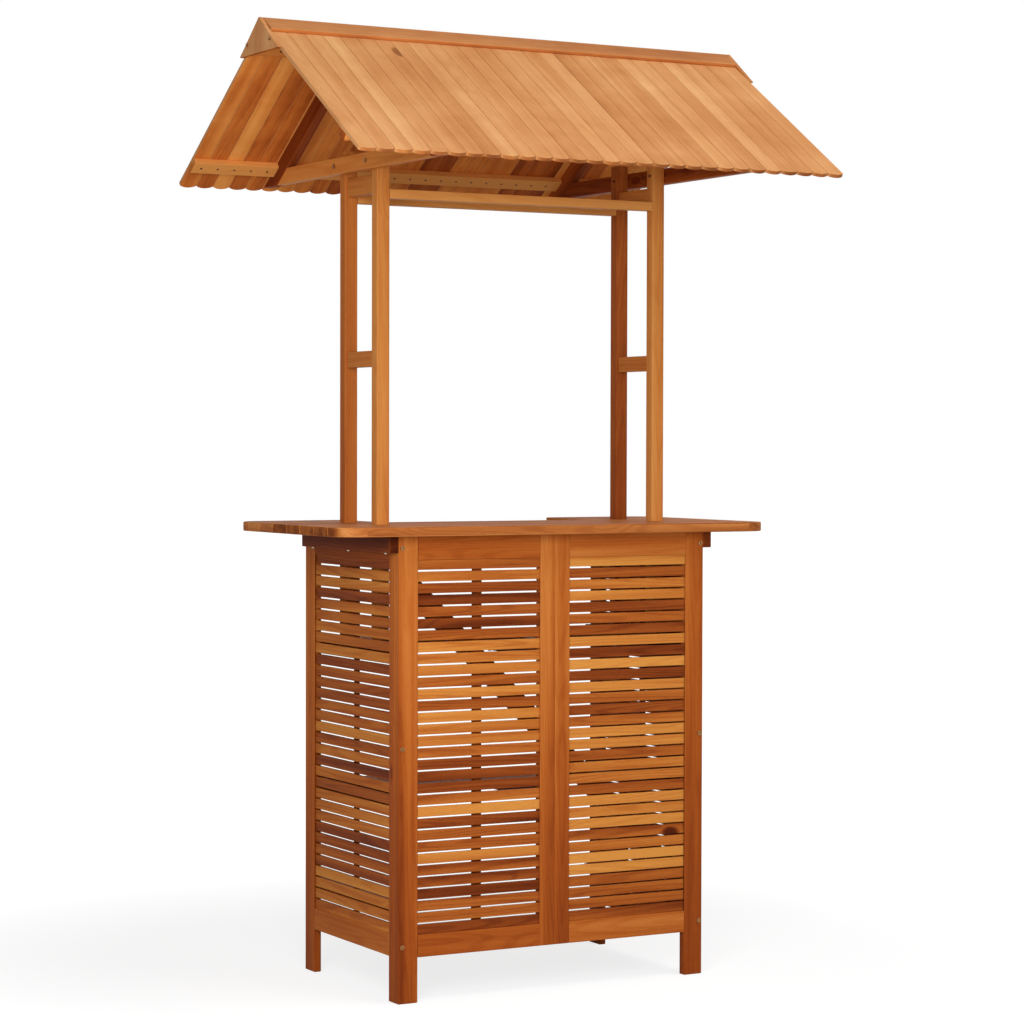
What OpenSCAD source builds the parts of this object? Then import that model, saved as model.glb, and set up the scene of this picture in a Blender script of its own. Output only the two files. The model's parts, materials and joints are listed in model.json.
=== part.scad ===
// Outdoor bar table with a gable roof, in oiled hardwood. Millimetres, +Z up.
// The origin is on the floor under the middle of the cabinet. X runs along the
// counter, and the guests stand on the -Y side.

/* [Cabinet] */
// Width of the cabinet over the outer faces of its side panels
cab_w = 786; // [640:2:960]
// Depth of the cabinet, from the front of the front legs to the back of the rear legs
cab_d = 484; // [440:2:560]
// Height of the cabinet, which is the underside of the counter
cab_h = 1025; // [960:1:1100]
// Thickness of the front's legs, stiles and rails
frame_t = 21; // [18:0.5:24]
// Thickness of the side panels
side_t = 18; // [16:0.5:22]
// Height of the bottom rails above the floor
foot_h = 100; // [60:1:140]
// Width of a front leg
front_leg_w = 48; // [44:1:70]
// Width of a rear leg
rear_leg_w = 50; // [40:1:80]
// Width of each of the two stiles in the middle of the front
centre_stile_w = 38; // [28:1:60]
// Width of the stile behind each front leg
side_stile_w = 26; // [24:1:40]
// Height of the top rails
top_rail_h = 53; // [40:1:70]
// Height of the bottom rails
bottom_rail_h = 49; // [40:1:70]

/* [Rail tenons] */
// Length of a rail's tenon
tenon_l = 14; // [8:1:18]
// Thickness of a rail's tenon
tenon_t = 7; // [5:0.5:10]
// Shoulder above and below a rail's tenon
tenon_shoulder = 8; // [4:1:12]
// Clearance round a tenon in its mortise
tenon_gap = 0.2; // [0.1:0.05:0.5]

/* [Slats] */
// Number of slats in each panel
slat_n = 32; // [24:1:36]
// Gap between one slat and the next
slat_gap = 4; // [2:0.5:6]
// Thickness of a slat
slat_t = 9; // [6:0.5:10]
// Depth of the slats' faces behind the frame's face
slat_recess = 4; // [1:0.5:5]
// Width of the batten behind the slats
slat_batten_w = 22; // [16:1:40]
// Length of a slat's end in the groove of the frame
slat_tongue = 5; // [3:0.5:5.5]
// Clearance on each side of a slat's end in its groove
slat_groove_gap = 0.2; // [0.1:0.05:0.3]

/* [Shelves] */
// Depth of each shelf
shelf_d = 200; // [180:1:230]
// Thickness of the shelf boards
shelf_t = 18; // [12:0.5:20]
// Number of boards in each shelf
shelf_board_n = 3; // [2:1:5]
// Gap between two shelf boards
shelf_board_gap = 4; // [1:0.5:8]
// Height of the top of the upper shelf
upper_shelf_z = 785; // [700:1:850]
// Height of the top of the lower shelf
lower_shelf_z = 462; // [380:1:560]
// Height of the top of the bottom side rails
bottom_side_rail_z = 221; // [200:1:280]
// Height of the rails that carry the shelves
shelf_rail_h = 45; // [42:1:60]
// Thickness of those rails
shelf_rail_t = 21; // [16:0.5:26]
// Distance from the cabinet's back to the rails' rear ends
shelf_rail_setback = 12; // [0:1:40]
// Width and height of the battens under the shelf boards
shelf_batten = 22; // [14:1:24]
// Width of the arms between the front's middle and the shelves
shelf_arm_w = 21; // [18:1:30]
// Height of those arms
shelf_arm_h = 30; // [20:1:34]
// Gap between the diagonal brace and the bottom side rails
brace_gap = 5; // [4:1:20]

/* [Diagonal brace] */
// Width of the brace behind the front panels
brace_w = 45; // [30:1:60]
// Thickness of the brace
brace_t = 20; // [14:1:24]
// Height of the brace's middle line where it meets the left side panel
brace_left_z = 940; // [880:1:950]
// Height of the brace's middle line where it meets the right side panel
brace_right_z = 190; // [170:1:240]

/* [Counter] */
// Length of the counter
counter_w = 1104; // [1080:1:1180]
// Depth of the counter over its wings
counter_d = 573; // [540:1:640]
// Thickness of the counter boards
counter_t = 21; // [16:0.5:28]
// Number of full-length boards
counter_front_n = 5; // [5:1:5]
// Number of boards in each wing
counter_wing_n = 3; // [3:1:3]
// Gap between two counter boards
counter_gap = 1; // [0.5:0.5:2]
// Length of a wing's boards
wing_w = 277; // [262:1:300]
// Radius of the counter's outer corners
counter_r = 62; // [10:1:68]
// Width of the cleats outside the side panels
cleat_w = 22; // [16:1:30]
// Height of those cleats
cleat_h = 37; // [25:1:45]
// Length of those cleats
cleat_l = 457; // [380:1:480]
// Width and height of the battens under the wings' inner edges
wing_batten = 22; // [16:1:26]
// Distance from a wing's inner edge to its batten
wing_batten_inset = 12; // [5:1:20]
// Distance from the counter's back edge to the end of a wing's batten
wing_batten_setback = 20; // [10:1:40]

/* [Posts] */
// Size of a post along X
post_w = 32; // [28:1:40]
// Size of a post along Y
post_d = 28; // [24:1:36]
// Distance between the middles of the front and the back posts
post_pitch = 164; // [140:1:176]
// Height of the posts' tops
post_top_z = 1890; // [1880:1:1900]
// Clearance round a post where it passes through the counter
post_gap = 0.8; // [0.4:0.1:2]
// Thickness of the rungs and rails between the posts
post_rail_t = 21; // [16:0.5:26]
// Height of the underside of the rungs
rung_z = 1398; // [1200:1:1600]
// Height of a rung
rung_h = 36; // [25:1:50]
// Height of the underside of the rails at the posts' heads
head_rail_z = 1785; // [1740:1:1786]
// Height of a rail at the posts' heads
head_rail_h = 42; // [30:1:48]
// Height of the underside of the long beams
beam_z = 1772; // [1700:1:1775]
// Height of a long beam
beam_h = 21; // [18:1:30]

/* [Roof] */
// Height of the ridge, which is the height of the whole object
ridge_z = 2166; // [2160:1:2190]
// Pitch of the roof in degrees
pitch = 33; // [32:0.5:34]
// Length of a roof board along the slope, from the ridge line to its tip
board_l = 586; // [560:1:600]
// Number of boards on each slope
board_n = 29; // [25:2:31]
// Distance from one roof board to the next
board_pitch = 42; // [38:0.5:44]
// Gap between two roof boards
board_gap = 1; // [0.4:0.1:2]
// Thickness of the roof boards
board_t = 9; // [7:0.5:14]
// Rise of the arc at a board's lower end
scallop_h = 7; // [3:0.5:14]
// Width of a batten under the boards
batten_w = 38; // [30:1:50]
// Thickness of a batten under the boards
batten_t = 15; // [8:0.5:16]
// Distance along the slope from a board's tip to the middle of the eave batten
eave_batten_s = 93; // [80:1:120]
// Distance along the slope from the ridge line to the middle of the ridge batten
ridge_batten_s = 66; // [55:1:90]
// Thickness of the ridge caps
cap_t = 9; // [8:0.5:16]
// Width of the ridge caps
cap_w = 48; // [40:1:90]
// Thickness of the gable plates
gable_t = 10; // [8:0.5:16]
// Half of the width of a gable plate
gable_half = 105; // [90:1:130]
// Distance along the slope from the ridge line to a gable plate's screws
gable_screw_s = 75; // [30:1:85]

/* [Roof trusses] */
// Thickness of the tie beams and rafters
truss_t = 21; // [18:0.5:26]
// Height of the underside of the tie beams
tie_z = 1836; // [1834:1:1842]
// Height of a tie beam
tie_h = 37; // [30:1:38]
// Depth of a rafter, square to the slope
rafter_h = 42; // [25:1:45]
// Gap between the two rafters' mitred ends at the ridge
rafter_gap = 0.4; // [0.2:0.1:1]

/* [Fasteners] */
// Diameter of the bolts
bolt_d = 6; // [5:0.5:8]
// Diameter of a bolt's head
bolt_head_d = 11; // [9:0.5:16]
// Height of a bolt's head
bolt_head_h = 2.5; // [2:0.5:5]
// Across-corners size of the socket in a bolt's head
bolt_socket_d = 4.6; // [3:0.1:5.5]
// Depth of the socket in a bolt's head
bolt_socket_h = 2; // [1:0.5:2]
// Clearance between a fastener's shank and its hole, on the diameter
hole_gap = 0.4; // [0.2:0.1:1]
// Length of a leg bolt in the stile behind the leg
leg_bolt_grip = 19; // [12:1:19]
// Length of a post's bolt in the rail beside it
bolt_grip = 14; // [8:1:15]
// Height of the middle leg bolt
leg_bolt_z = 559; // [400:1:700]
// Diameter of the dowels
dowel_d = 8; // [6:0.5:10]
// Length of a dowel on each side of its joint
dowel_l = 13; // [8:1:14]
// Diameter of the screws
screw_d = 4; // [3:0.5:5]
// Diameter of a screw's head
screw_head_d = 8; // [6:0.5:9]
// Height of a screw's head
screw_head_h = 3; // [2:0.5:4]
// Length of a screw in the second piece that it holds
screw_grip = 12; // [6:1:14]
// Diameter of the nails
nail_d = 2.4; // [1.6:0.2:3]
// Diameter of a nail's head
nail_head_d = 5; // [4:0.5:7]
// Height of a nail's head
nail_head_h = 0.8; // [0.5:0.1:1.5]
// Length of a nail in the roof board
nail_grip = 6; // [4:0.5:6]
// Least wood that is left over the tip of a screw in a shelf board
shelf_screw_cover = 4; // [2:0.5:6]
// Distance from a cleat's ends to its outer screws into the counter
cleat_screw_inset = 40; // [20:1:80]
// Distance from the cabinet's middle to the screws between a cleat and its side panel
cleat_screw_y = 145; // [112:1:160]
// Distance of those screws below the cleat's middle
cleat_screw_drop = 6; // [3:0.5:8]
// Distance from a side panel to the brace's screws
brace_screw_inset = 12; // [10:0.5:14]
// Length of a truss bolt that stands out inside its post
truss_bolt_end = 4; // [0:0.5:8]

/* [Hidden] */
$fn = 32;

// A cut runs this far past the face that it opens
past = 1;

// A blind hole is this much deeper than what it holds
hole_end = 0.5;

// Wood colours, from the light roof to the dark cleats
roof_colour = "#d79b5f";
slat_colour = "#b8762f";
frame_colour = "#b5642b";
post_colour = "#a9602c";
dark_colour = "#7a4420";
steel_colour = "#8f8577";

// Cabinet planes
x_out = cab_w / 2;
x_in = x_out - side_t;
y_front = -cab_d / 2;
y_behind = y_front + frame_t;
y_back = cab_d / 2;
open_z0 = foot_h + bottom_rail_h;
open_z1 = cab_h - top_rail_h;
open_x0 = centre_stile_w;
open_x1 = x_out - front_leg_w;
open_y0 = y_behind + side_stile_w;
open_y1 = y_back - rear_leg_w;

// Slats
slat_h = (open_z1 - open_z0 - (slat_n - 1) * slat_gap) / slat_n;
front_batten_t = frame_t - slat_recess - slat_t;
side_batten_t = side_t - slat_recess - slat_t;

// Shelves
shelf_x = x_in - shelf_rail_t;
shelf_board_w = (shelf_d - (shelf_board_n - 1) * shelf_board_gap) / shelf_board_n;

// Counter
counter_n = counter_front_n + counter_wing_n;
counter_board_w = (counter_d - (counter_n - 1) * counter_gap) / counter_n;
counter_step = counter_board_w + counter_gap;
wing_x = counter_w / 2 - wing_w;
wing_batten_y0 = -counter_d / 2 + (counter_front_n - 1) * counter_step;
wing_batten_y1 = counter_d / 2 - wing_batten_setback;

// Posts stand on the upper shelf rails, against the inside of the side panels
post_x = x_in - post_w / 2;
post_y = post_pitch / 2;
post_inner_x = x_in - post_w;
post_inner_y = post_y - post_d / 2;

// Roof: roof_z is where the two slopes' upper faces would meet
roof_z = ridge_z - cap_t / cos(pitch);
roof_half = board_n * board_pitch / 2;
eave_s = board_l - eave_batten_s;
truss_x = x_in;
tie_top_z = tie_z + tie_h;
rafter_low = -board_t - rafter_h;

// A point on a slope: s along it from the ridge line, n out from the boards' upper face
function on_slope(s, n) = [s * cos(pitch) + n * sin(pitch), roof_z - s * sin(pitch) + n * cos(pitch)];

// The distance along the slope at which a line n out from it reaches the plane y = half
function s_at_middle(n, half = 0) = half / cos(pitch) - n * tan(pitch);

// The distance along the slope at which a line n out from it reaches the height z
function s_at_height(n, z) = (roof_z + n * cos(pitch) - z) / sin(pitch);

// Places of fasteners
leg_bolt_x = x_out - side_t / 2;
leg_bolt_zs = [foot_h + bottom_rail_h / 2, leg_bolt_z, cab_h - top_rail_h / 2];
leg_bolt_l = frame_t + leg_bolt_grip;
post_bolt_z = cab_h - top_rail_h / 2;
post_bolt_l = post_w + bolt_grip;
truss_bolt_z = tie_z + tie_h / 2;
truss_bolt_l = truss_t + post_w + truss_bolt_end;
counter_screw_ys = [-cleat_l / 2 + cleat_screw_inset, 0, cleat_l / 2 - cleat_screw_inset];
cleat_y0 = y_front;
cleat_mid_y = cleat_y0 + cleat_l / 2;
wing_screw_ys = [for (k = [0 : counter_wing_n])
    wing_batten_y0 + counter_board_w / 2 + k * counter_step];
brace_screw_x = x_in - brace_screw_inset;
shelf_screw_l = shelf_batten + min(screw_grip, shelf_t - shelf_screw_cover);
gable_screw = on_slope(gable_screw_s, -board_t / 2);

module both_sides() {
    children();
    mirror([1, 0, 0]) children();
}

module front_and_back() {
    children();
    mirror([0, 1, 0]) children();
}

// A box between two corners
module block(a, b) {
    translate(a) cube(b - a);
}

// A rod of diameter d from one point, along +X or +Y
module rod_x(p, d, l) {
    translate(p) rotate([0, 90, 0]) cylinder(d = d, h = l);
}

module rod_y(p, d, l) {
    translate(p) rotate([-90, 0, 0]) cylinder(d = d, h = l);
}

// A bolt whose head sits on the plane z = 0 and whose shank runs down
module bolt(l) {
    difference() {
        cylinder(d = bolt_head_d, h = bolt_head_h);
        translate([0, 0, bolt_head_h - bolt_socket_h])
            cylinder(d = bolt_socket_d, h = bolt_socket_h + past, $fn = 6);
    }
    translate([0, 0, -l]) cylinder(d = bolt_d, h = l);
}

// A screw whose head sits on the plane z = 0 and whose shank runs up
module screw_up(l) {
    translate([0, 0, -screw_head_h]) cylinder(d = screw_head_d, h = screw_head_h);
    cylinder(d = screw_d, h = l);
}

// A tenon that stands on the plane x = 0, on a rail between z0 and z1 whose middle plane is y = mid
module tenon(mid, z0, z1, gap) {
    translate([-past, mid - tenon_t / 2 - gap, z0 + tenon_shoulder - gap])
        cube([past + tenon_l + gap, tenon_t + 2 * gap, z1 - z0 - 2 * tenon_shoulder + 2 * gap]);
}

// The tenons at both ends of a front rail that runs from open_x0 to open_x1
module front_tenons(z0, z1, gap) {
    translate([open_x1, 0, 0]) tenon(y_front + frame_t / 2, z0, z1, gap);
    translate([open_x0, 0, 0]) mirror([1, 0, 0]) tenon(y_front + frame_t / 2, z0, z1, gap);
}

// The tenons at both ends of a right side rail that runs from open_y0 to open_y1
module side_tenons(z0, z1, gap) {
    translate([x_out, open_y1, 0]) rotate([0, 0, 90]) tenon(side_t / 2, z0, z1, gap);
    translate([x_in, open_y0, 0]) rotate([0, 0, -90]) tenon(side_t / 2, z0, z1, gap);
}

// Holes for the three bolts in a right front leg and the stile behind it
module leg_bolt_holes() {
    for (z = leg_bolt_zs)
        rod_y([leg_bolt_x, y_front - past, z], bolt_d + hole_gap, past + leg_bolt_l + hole_end);
}

module front_leg() {
    color(frame_colour) difference() {
        block([open_x1, y_front, 0], [x_out, y_behind, cab_h]);
        front_tenons(foot_h, open_z0, tenon_gap);
        front_tenons(open_z1, cab_h, tenon_gap);
        front_slat_grooves();
        leg_bolt_holes();
    }
}

module front_right_leg() {
    difference() {
        front_leg();
        brace_screw_holes();
    }
}

module front_left_leg() {
    difference() {
        mirror([1, 0, 0]) front_leg();
        brace_screw_holes();
    }
}

module rear_leg() {
    color(frame_colour) difference() {
        block([x_in, open_y1, 0], [x_out, y_back, cab_h]);
        side_tenons(foot_h, open_z0, tenon_gap);
        side_tenons(open_z1, cab_h, tenon_gap);
        side_slat_grooves();
        shelf_rail_screw_holes();
    }
}

module rear_right_leg() { rear_leg(); }

module rear_left_leg() { mirror([1, 0, 0]) rear_leg(); }

module centre_stile() {
    color(frame_colour) difference() {
        block([0, y_front, foot_h], [open_x0, y_behind, cab_h]);
        front_tenons(foot_h, open_z0, tenon_gap);
        front_tenons(open_z1, cab_h, tenon_gap);
        front_slat_grooves();
        for (z = [upper_shelf_z, lower_shelf_z])
            arm_dowels(z, dowel_d + hole_gap / 2, dowel_l + hole_end);
    }
}

module front_right_stile() { centre_stile(); }

module front_left_stile() { mirror([1, 0, 0]) centre_stile(); }

module front_rails(z0, z1) {
    color(frame_colour) both_sides() union() {
        block([open_x0, y_front, z0], [open_x1, y_behind, z1]);
        front_tenons(z0, z1, 0);
    }
}

module front_top_rails() { front_rails(open_z1, cab_h); }

module front_bottom_rails() { front_rails(foot_h, open_z0); }

// The room of a panel's slats, with the grooves that hold their ends
module slat_room(a, b) {
    block([a[0], a[1], open_z0], [b[0], b[1], open_z1]);
}

module front_slat_grooves() {
    slat_room([open_x0 - slat_tongue - slat_groove_gap, y_front + slat_recess - slat_groove_gap],
              [open_x1 + slat_tongue + slat_groove_gap, y_front + slat_recess + slat_t + slat_groove_gap]);
}

module side_slat_grooves() {
    slat_room([x_out - slat_recess - slat_t - slat_groove_gap, open_y0 - slat_tongue - slat_groove_gap],
              [x_out - slat_recess + slat_groove_gap, open_y1 + slat_tongue + slat_groove_gap]);
}

// Slats one above the other, each between two corners that are given at the lowest one
module slats(a, b) {
    color(slat_colour) for (k = [0 : slat_n - 1])
        translate([0, 0, open_z0 + k * (slat_h + slat_gap)])
            block([a[0], a[1], 0], [b[0], b[1], slat_h]);
}

module front_right_slats() {
    slats([open_x0 - slat_tongue, y_front + slat_recess],
          [open_x1 + slat_tongue, y_front + slat_recess + slat_t]);
}

module front_left_slats() { mirror([1, 0, 0]) front_right_slats(); }

module front_slat_battens() {
    mid = (open_x0 + open_x1) / 2;
    color(dark_colour) both_sides()
        block([mid - slat_batten_w / 2, y_behind - front_batten_t, open_z0],
              [mid + slat_batten_w / 2, y_behind, open_z1]);
}

module side_stiles() {
    color(frame_colour) both_sides() difference() {
        block([x_in, y_behind, 0], [x_out, open_y0, cab_h]);
        side_tenons(foot_h, open_z0, tenon_gap);
        side_tenons(open_z1, cab_h, tenon_gap);
        side_slat_grooves();
        leg_bolt_holes();
    }
}

module side_rails(z0, z1) {
    union() {
        block([x_in, open_y0, z0], [x_out, open_y1, z1]);
        side_tenons(z0, z1, 0);
    }
}

module side_top_rails() {
    color(frame_colour) both_sides() difference() {
        side_rails(open_z1, cab_h);
        leg_bolt_holes();
        post_bolt_holes();
        cleat_screw_holes();
    }
}

module side_bottom_rails() {
    color(frame_colour) both_sides() difference() {
        side_rails(foot_h, open_z0);
        leg_bolt_holes();
    }
}

module right_side_slats() {
    slats([x_out - slat_recess - slat_t, open_y0 - slat_tongue],
          [x_out - slat_recess, open_y1 + slat_tongue]);
}

module left_side_slats() { mirror([1, 0, 0]) right_side_slats(); }

module side_slat_battens() {
    mid = (open_y0 + open_y1) / 2;
    color(dark_colour) both_sides()
        block([x_in, mid - slat_batten_w / 2, open_z0],
              [x_in + side_batten_t, mid + slat_batten_w / 2, open_z1]);
}

// A pair of rails on the insides of the side panels, with their tops at z
module shelf_rails(z, y0) {
    color(dark_colour) both_sides() difference() {
        block([shelf_x, y0, z - shelf_rail_h], [x_in, y_back - shelf_rail_setback, z]);
        shelf_rail_screw_holes();
    }
}

module upper_shelf_rails() { shelf_rails(upper_shelf_z, y_behind); }

module lower_shelf_rails() { shelf_rails(lower_shelf_z, y_behind); }

// The bottom rails start behind the diagonal brace and its screws
module bottom_side_rails() { shelf_rails(bottom_side_rail_z, y_behind + brace_t + brace_gap); }

// The boards of one shelf, with their tops at z
module shelf_boards(z) {
    color(post_colour) difference() {
        for (k = [0 : shelf_board_n - 1])
            translate([0, -shelf_d / 2 + k * (shelf_board_w + shelf_board_gap), 0])
                block([-shelf_x, 0, z - shelf_t], [shelf_x, shelf_board_w, z]);
        shelf_screw_holes(z);
        arm_dowels(z, dowel_d + hole_gap / 2, dowel_l + hole_end);
    }
}

module upper_shelf_boards() { shelf_boards(upper_shelf_z); }

module lower_shelf_boards() { shelf_boards(lower_shelf_z); }

// Three battens hold each shelf's boards together from below
shelf_batten_xs = [-shelf_x + shelf_batten / 2, 0, shelf_x - shelf_batten / 2];

module shelf_battens() {
    color(dark_colour) for (z = [upper_shelf_z, lower_shelf_z])
        difference() {
            for (x = shelf_batten_xs)
                translate([x, 0, z - shelf_t - shelf_batten])
                    block([-shelf_batten / 2, -shelf_d / 2, 0],
                          [shelf_batten / 2, shelf_d / 2, shelf_batten]);
            shelf_screw_holes(z);
        }
}

// One arm holds the front edge of each shelf to the stiles in the middle of the front
module shelf_arms() {
    color(dark_colour) for (z = [upper_shelf_z, lower_shelf_z])
        difference() {
            block([-shelf_arm_w / 2, y_behind, z - shelf_arm_h], [shelf_arm_w / 2, -shelf_d / 2, z]);
            arm_dowels(z, dowel_d + hole_gap / 2, dowel_l + hole_end);
        }
}

// The brace runs from the top left corner to the bottom right one, behind the front panels
module diagonal_brace() {
    half = brace_w / 2 / cos(atan2(brace_left_z - brace_right_z, 2 * x_in));
    color(dark_colour) difference() {
        translate([0, y_behind + brace_t, 0]) rotate([90, 0, 0]) linear_extrude(brace_t)
            polygon([[-x_in, brace_left_z - half], [x_in, brace_right_z - half],
                     [x_in, brace_right_z + half], [-x_in, brace_left_z + half]]);
        brace_screw_holes();
    }
}

// The counter's outline, with its four outer corners rounded
module counter_outline() {
    r = counter_r;
    square([counter_w, counter_d - 2 * r], center = true);
    square([counter_w - 2 * r, counter_d], center = true);
    for (x = [-1, 1], y = [-1, 1])
        translate([x * (counter_w / 2 - r), y * (counter_d / 2 - r)]) circle(r);
}

// The holes in the counter that the four posts pass through
module post_openings() {
    for (x = [-post_x, post_x], y = [-post_y, post_y])
        translate([x, y]) square([post_w + 2 * post_gap, post_d + 2 * post_gap], center = true);
}

// Counter boards from number k0 to number k1, counted from the front, between x0 and x1
module counter_boards(k0, k1, x0, x1) {
    color(post_colour) difference() {
        translate([0, 0, cab_h]) linear_extrude(counter_t) difference() {
            intersection() {
                counter_outline();
                for (k = [k0 : k1])
                    translate([x0, -counter_d / 2 + k * counter_step])
                        square([x1 - x0, counter_board_w]);
            }
            post_openings();
        }
        counter_screw_holes();
    }
}

module counter_front_boards() {
    counter_boards(0, counter_front_n - 1, -counter_w / 2, counter_w / 2);
}

module counter_right_wing() {
    counter_boards(counter_front_n, counter_n - 1, wing_x, counter_w / 2);
}

module counter_left_wing() {
    counter_boards(counter_front_n, counter_n - 1, -counter_w / 2, -wing_x);
}

module counter_cleats() {
    color(dark_colour) difference() {
        both_sides() difference() {
            block([x_out, cleat_y0, cab_h - cleat_h],
                  [x_out + cleat_w, cleat_y0 + cleat_l, cab_h]);
            cleat_screw_holes();
        }
        counter_screw_holes();
    }
}

module wing_battens() {
    x0 = wing_x + wing_batten_inset;
    color(dark_colour) difference() {
        both_sides()
            block([x0, wing_batten_y0, cab_h - wing_batten], [x0 + wing_batten, wing_batten_y1, cab_h]);
        counter_screw_holes();
    }
}

// The post at the front right, with its holes
module post() {
    color(post_colour) difference() {
        translate([post_x, -post_y, 0])
            block([-post_w / 2, -post_d / 2, upper_shelf_z], [post_w / 2, post_d / 2, post_top_z]);
        post_bolt_holes();
        truss_bolt_holes();
        dowel_holes();
    }
}

module front_right_post() { post(); }

module front_left_post() { mirror([1, 0, 0]) post(); }

module back_right_post() { mirror([0, 1, 0]) post(); }

module back_left_post() { mirror([1, 0, 0]) mirror([0, 1, 0]) post(); }

// A pair of short rails between the front and the back posts
module between_posts(z, h) {
    color(post_colour) both_sides() difference() {
        block([post_x - post_rail_t / 2, -post_inner_y, z], [post_x + post_rail_t / 2, post_inner_y, z + h]);
        dowel_holes();
    }
}

module post_rungs() { between_posts(rung_z, rung_h); }

module head_rails() { between_posts(head_rail_z, head_rail_h); }

// The long beam between the two front posts
module front_beam() {
    color(post_colour) difference() {
        block([-post_inner_x, -post_y - post_d / 2, beam_z], [post_inner_x, -post_inner_y, beam_z + beam_h]);
        both_sides() dowel_holes();
    }
}

module back_beam() { mirror([0, 1, 0]) front_beam(); }

// An outline in the Y-Z plane, made into a plate from x0 to x0 + t
module across(x0, t) {
    translate([x0, 0, 0]) rotate([90, 0, 90]) linear_extrude(t) children();
}

// The right tie beam: its ends are cut to the slope and lie under the rafters
module right_tie_beam() {
    low = on_slope(s_at_height(rafter_low, tie_z), rafter_low);
    high = on_slope(s_at_height(rafter_low, tie_top_z), rafter_low);
    color(frame_colour) difference() {
        across(truss_x, truss_t)
            polygon([[-low[0], low[1]], [low[0], low[1]], [high[0], high[1]], [-high[0], high[1]]]);
        truss_bolt_holes();
        truss_dowel_holes();
    }
}

module left_tie_beam() { mirror([1, 0, 0]) right_tie_beam(); }

// The right rafters: they are mitred at the ridge, and cut level at the tie beam's underside
module right_rafters() {
    top = -board_t;
    low = rafter_low;
    half = rafter_gap / 2;
    color(frame_colour) difference() {
        front_and_back() across(truss_x, truss_t)
            polygon([on_slope(s_at_middle(top, half), top), on_slope(s_at_middle(low, half), low),
                     on_slope(s_at_height(low, tie_z), low), on_slope(s_at_height(top, tie_z), top)]);
        truss_dowel_holes();
    }
}

module left_rafters() { mirror([1, 0, 0]) right_rafters(); }

// Moves what is drawn along +Y on a flat board to the back slope
module on_back_slope() {
    translate([0, 0, roof_z]) rotate([-pitch, 0, 0]) children();
}

// The three lengths of one batten on the back slope, around s: between the trusses and beyond them
module battens_at(s) {
    spans = [[-roof_half, -truss_x - truss_t], [-truss_x, truss_x], [truss_x + truss_t, roof_half]];
    color(post_colour) difference() {
        for (span = spans)
            on_back_slope() block([span[0], s - batten_w / 2, -board_t - batten_t],
                                  [span[1], s + batten_w / 2, -board_t]);
        nail_holes(s);
    }
}

module back_eave_battens() { battens_at(eave_s); }

module front_eave_battens() { mirror([0, 1, 0]) back_eave_battens(); }

module ridge_battens() { front_and_back() battens_at(ridge_batten_s); }

// One roof board lies from its plumb end near the ridge to its rounded tip
board_w = board_pitch - board_gap;
board_s0 = board_t * tan(pitch) + board_gap / 2;
scallop_r = (pow(board_w / 2, 2) + pow(scallop_h, 2)) / (2 * scallop_h);

module roof_board_outline() {
    intersection() {
        translate([-board_w / 2, board_s0]) square([board_w, board_l - board_s0]);
        union() {
            translate([-board_w / 2, board_s0]) square([board_w, board_l - board_s0 - 2 * scallop_h]);
            translate([0, board_l - scallop_r]) circle(scallop_r, $fn = 96);
            translate([-board_w / 2, board_l - 3 * scallop_h]) square([board_w, 2 * scallop_h]);
        }
    }
}

function board_x(k) = (k - (board_n - 1) / 2) * board_pitch;

module back_roof_boards() {
    color(roof_colour) difference() {
        for (k = [0 : board_n - 1])
            on_back_slope() translate([board_x(k), 0, -board_t])
                linear_extrude(board_t) roof_board_outline();
        nail_holes(eave_s);
        nail_holes(ridge_batten_s);
        both_sides() gable_screw_holes();
    }
}

module front_roof_boards() { mirror([0, 1, 0]) back_roof_boards(); }

module back_ridge_cap() {
    color(roof_colour) across(-roof_half, 2 * roof_half)
        polygon([on_slope(0, 0), on_slope(cap_w, 0), on_slope(cap_w, cap_t),
                 on_slope(s_at_middle(cap_t), cap_t)]);
}

module front_ridge_cap() { mirror([0, 1, 0]) back_ridge_cap(); }

module right_gable_plate() {
    low = roof_z - gable_half * tan(pitch);
    color(roof_colour) difference() {
        across(roof_half, gable_t)
            polygon([[-gable_half, low], [gable_half, low], [0, ridge_z]]);
        gable_screw_holes();
    }
}

module left_gable_plate() { mirror([1, 0, 0]) right_gable_plate(); }

module leg_bolts() {
    color(steel_colour) both_sides() for (z = leg_bolt_zs)
        translate([leg_bolt_x, y_front, z]) rotate([90, 0, 0]) bolt(leg_bolt_l);
}

// Each post is bolted from inside to its side panel's top rail
module post_bolt_holes() {
    for (y = [-post_y, post_y])
        rod_x([post_inner_x - past, y, post_bolt_z], bolt_d + hole_gap, past + post_bolt_l + hole_end);
}

module post_bolts() {
    color(steel_colour) both_sides() for (y = [-post_y, post_y])
        translate([post_inner_x, y, post_bolt_z]) rotate([0, -90, 0]) bolt(post_bolt_l);
}

// Each tie beam has a bolt through each post
truss_bolt_ys = [-post_y, post_y];

module truss_bolt_holes() {
    for (y = truss_bolt_ys)
        rod_x([truss_x - post_w - past, y, truss_bolt_z], bolt_d + hole_gap, truss_t + post_w + 2 * past);
}

module truss_bolts() {
    color(steel_colour) both_sides() for (y = truss_bolt_ys)
        translate([truss_x + truss_t, y, truss_bolt_z]) rotate([0, 90, 0]) bolt(truss_bolt_l);
}

// Dowels join the rungs, head rails and beams to the right front post
module dowels_at_post(d, l) {
    for (z = [rung_z + rung_h / 2, head_rail_z + head_rail_h / 2])
        rod_y([post_x, -post_inner_y - l, z], d, 2 * l);
    rod_x([post_inner_x - l, -post_y, beam_z + beam_h / 2], d, 2 * l);
}

module dowel_holes() {
    front_and_back() dowels_at_post(dowel_d + hole_gap / 2, dowel_l + hole_end);
}

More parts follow.
